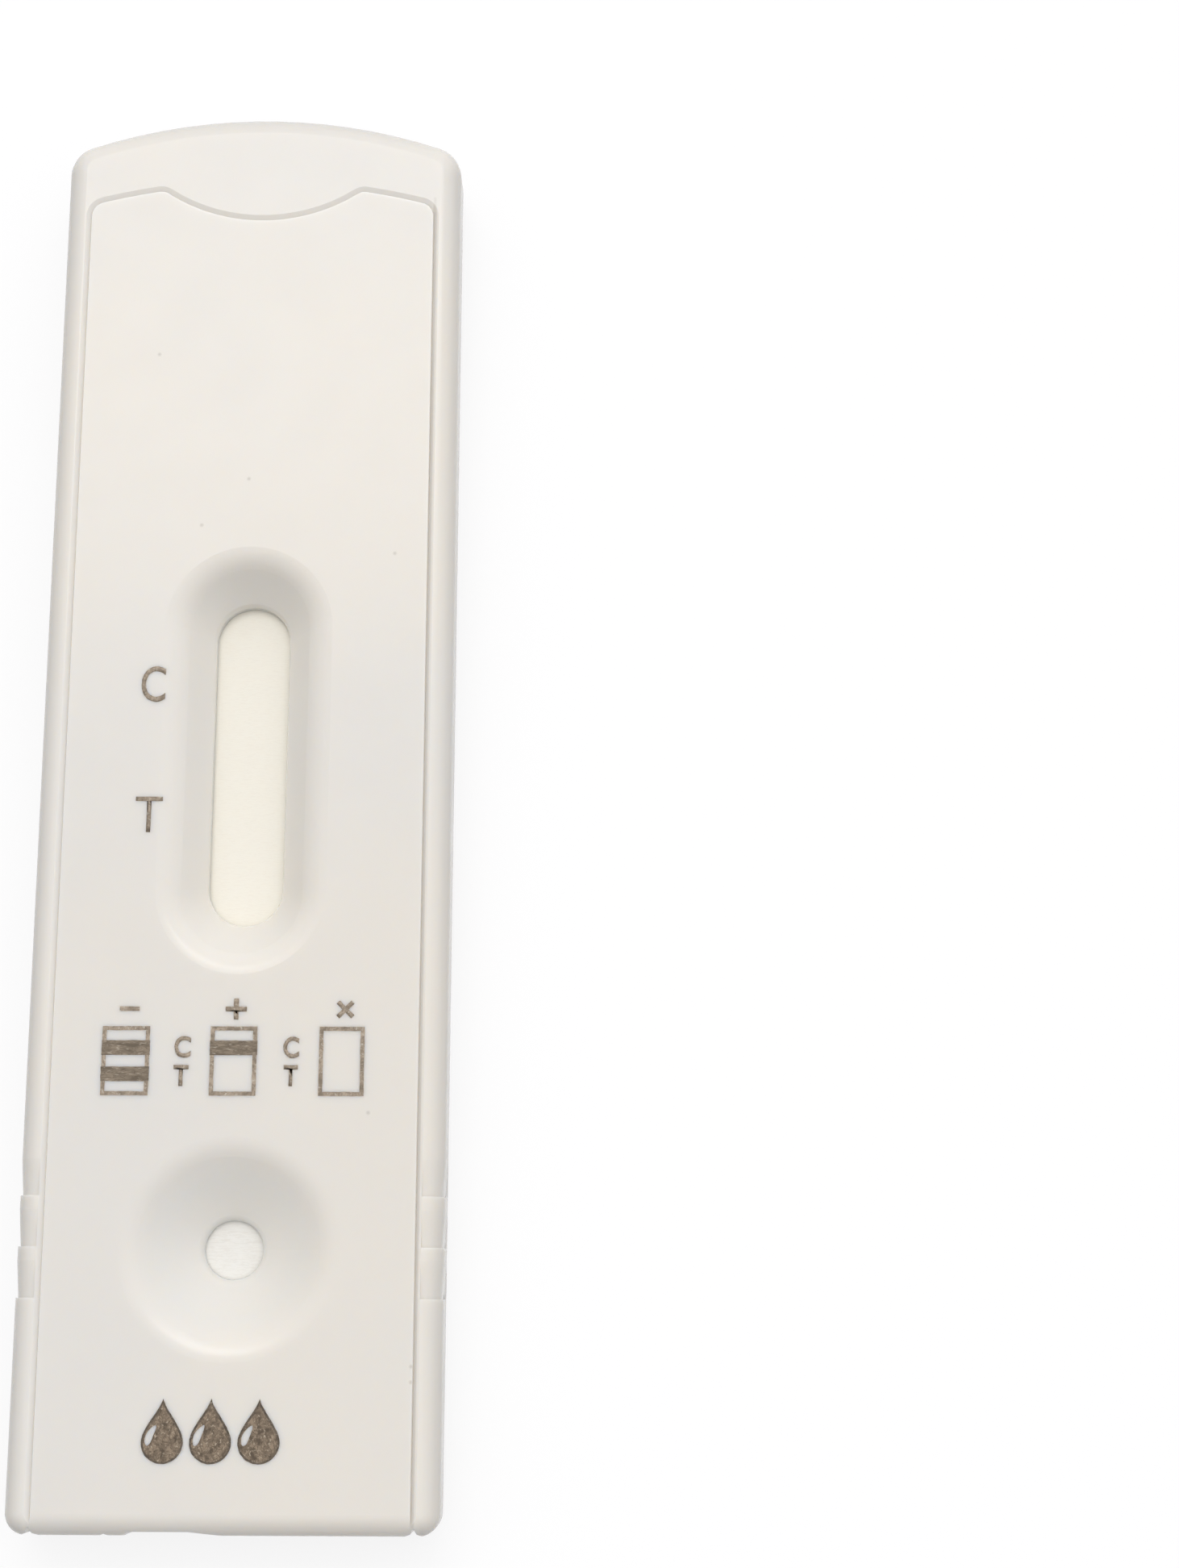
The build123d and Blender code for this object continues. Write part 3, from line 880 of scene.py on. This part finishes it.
def print_bar(name, middle_x, middle_y, box_width):
    """One solid bar across a box, with a darker rim."""
    piece = new_plane()
    set_on_face(piece, middle_x, middle_y, box_width + 2 * bar_overhang, bar_height, bar_sunk)
    piece.data.materials.append(bar_ink)
    piece.data.materials.append(rim_ink)
    bpy.ops.object.mode_set(mode="EDIT")
    bpy.ops.mesh.select_all(action="SELECT")
    bpy.ops.mesh.inset(thickness=bar_rim * millimetre)
    bpy.ops.mesh.select_all(action="INVERT")
    piece.active_material_index = 1
    bpy.ops.object.material_slot_assign()
    bpy.ops.object.mode_set(mode="OBJECT")
    make_film(piece, name, edge_cuts, bar_thickness)


for box_name, line_name in bars:
    middle_x, box_width = boxes[box_name]
    print_bar("bar_" + box_name + "_" + line_name, middle_x, line_places[line_name], box_width)

# %% [markdown]
# ## The outline of a droplet
# Three droplets under the well tell how much sample to give. A droplet could be a circle and a
# triangle, but the join would show, so its outline is one closed Bezier loop of four points
# with a sharp tip. A second loop is the leaf of bare plastic inside it, which looks like a
# glint. The points are shares of the round end's radius, each with the handle before it and
# the handle after it.

# %% Draw the loops
droplet_loop_shares = [
    ((0.0, 2.02), (-0.16, 1.42), (0.16, 1.42)),
    ((1.0, 0.0), (1.0, 0.66), (1.0, -0.55)),
    ((0.0, -1.0), (0.55, -1.0), (-0.55, -1.0)),
    ((-1.0, 0.0), (-1.0, -0.55), (-1.0, 0.66)),
]
leaf_loop_shares = [
    ((-0.31, 0.80), (-0.47, 0.77), (-0.24, 0.72)),
    ((-0.44, 0.25), (-0.36, 0.46), (-0.50, 0.05)),
    ((-0.72, -0.16), (-0.60, -0.17), (-0.82, -0.14)),
    ((-0.80, 0.27), (-0.87, 0.06), (-0.74, 0.49)),
]


def add_loop(curve, point_shares, size_share):
    """Adds a closed loop to a curve, at a share of its full size."""
    loop = curve.splines.new("BEZIER")
    loop.bezier_points.add(len(point_shares) - 1)
    loop.use_cyclic_u = True
    for point, shares in zip(loop.bezier_points, point_shares):
        place, before, after = [(x * size_share, y * size_share, 0.0) for x, y in shares]
        point.handle_left_type = "FREE"
        point.handle_right_type = "FREE"
        point.co = place
        point.handle_left = before
        point.handle_right = after


print("points in a droplet:", len(droplet_loop_shares))

# %% [markdown]
# ## Droplets
# A droplet has two inks, so it is filled in two steps. The rim is the ring between the full
# loop and a smaller one, in the ink of the rims. The body fills the smaller loop with the
# blotchy ink, apart from the leaf. Both start as a Bezier circle whose loop is exchanged. They
# are made meshes, joined, and pushed up together.

# %% Print the droplets
droplet_radius = 0.965
droplet_middle_y = foot + 4.18
full_share = 1.0
body_share = 0.90
droplets = {
    # middle x
    "left": -2.76,
    "middle": -0.55,
    "right": 1.67,
}


def fill_loops(middle_x, outer_share, inner_shares, inner_share, ink):
    """A flat mesh on the top face between an outer droplet loop and an inner loop."""
    bpy.ops.object.select_all(action="DESELECT")
    bpy.ops.curve.primitive_bezier_circle_add(radius=1.0, location=(0, 0, 0))
    piece = bpy.context.object
    piece.data.splines.clear()
    piece.data.dimensions = "2D"
    piece.data.fill_mode = "BOTH"
    add_loop(piece.data, droplet_loop_shares, outer_share)
    add_loop(piece.data, inner_shares, inner_share)
    bpy.ops.object.convert(target="MESH")
    piece = bpy.context.object
    piece.scale = (droplet_radius * millimetre, droplet_radius * millimetre, 1.0)
    piece.location = (middle_x * millimetre, droplet_middle_y * millimetre, face_z - ink_sunk)
    bpy.ops.object.transform_apply(location=True, rotation=True, scale=True)
    piece.data.materials.append(ink)
    return piece


def print_droplet(name, middle_x):
    """One droplet with a dark rim and a bare leaf."""
    rim = fill_loops(middle_x, full_share, droplet_loop_shares, body_share, rim_ink)
    body = fill_loops(middle_x, body_share, leaf_loop_shares, full_share, droplet_ink)
    rim.select_set(True)
    bpy.context.view_layer.objects.active = body
    bpy.ops.object.join()
    make_film(body, name, outline_cuts)


for droplet_name, middle_x in droplets.items():
    print_droplet("droplet_" + droplet_name, middle_x)
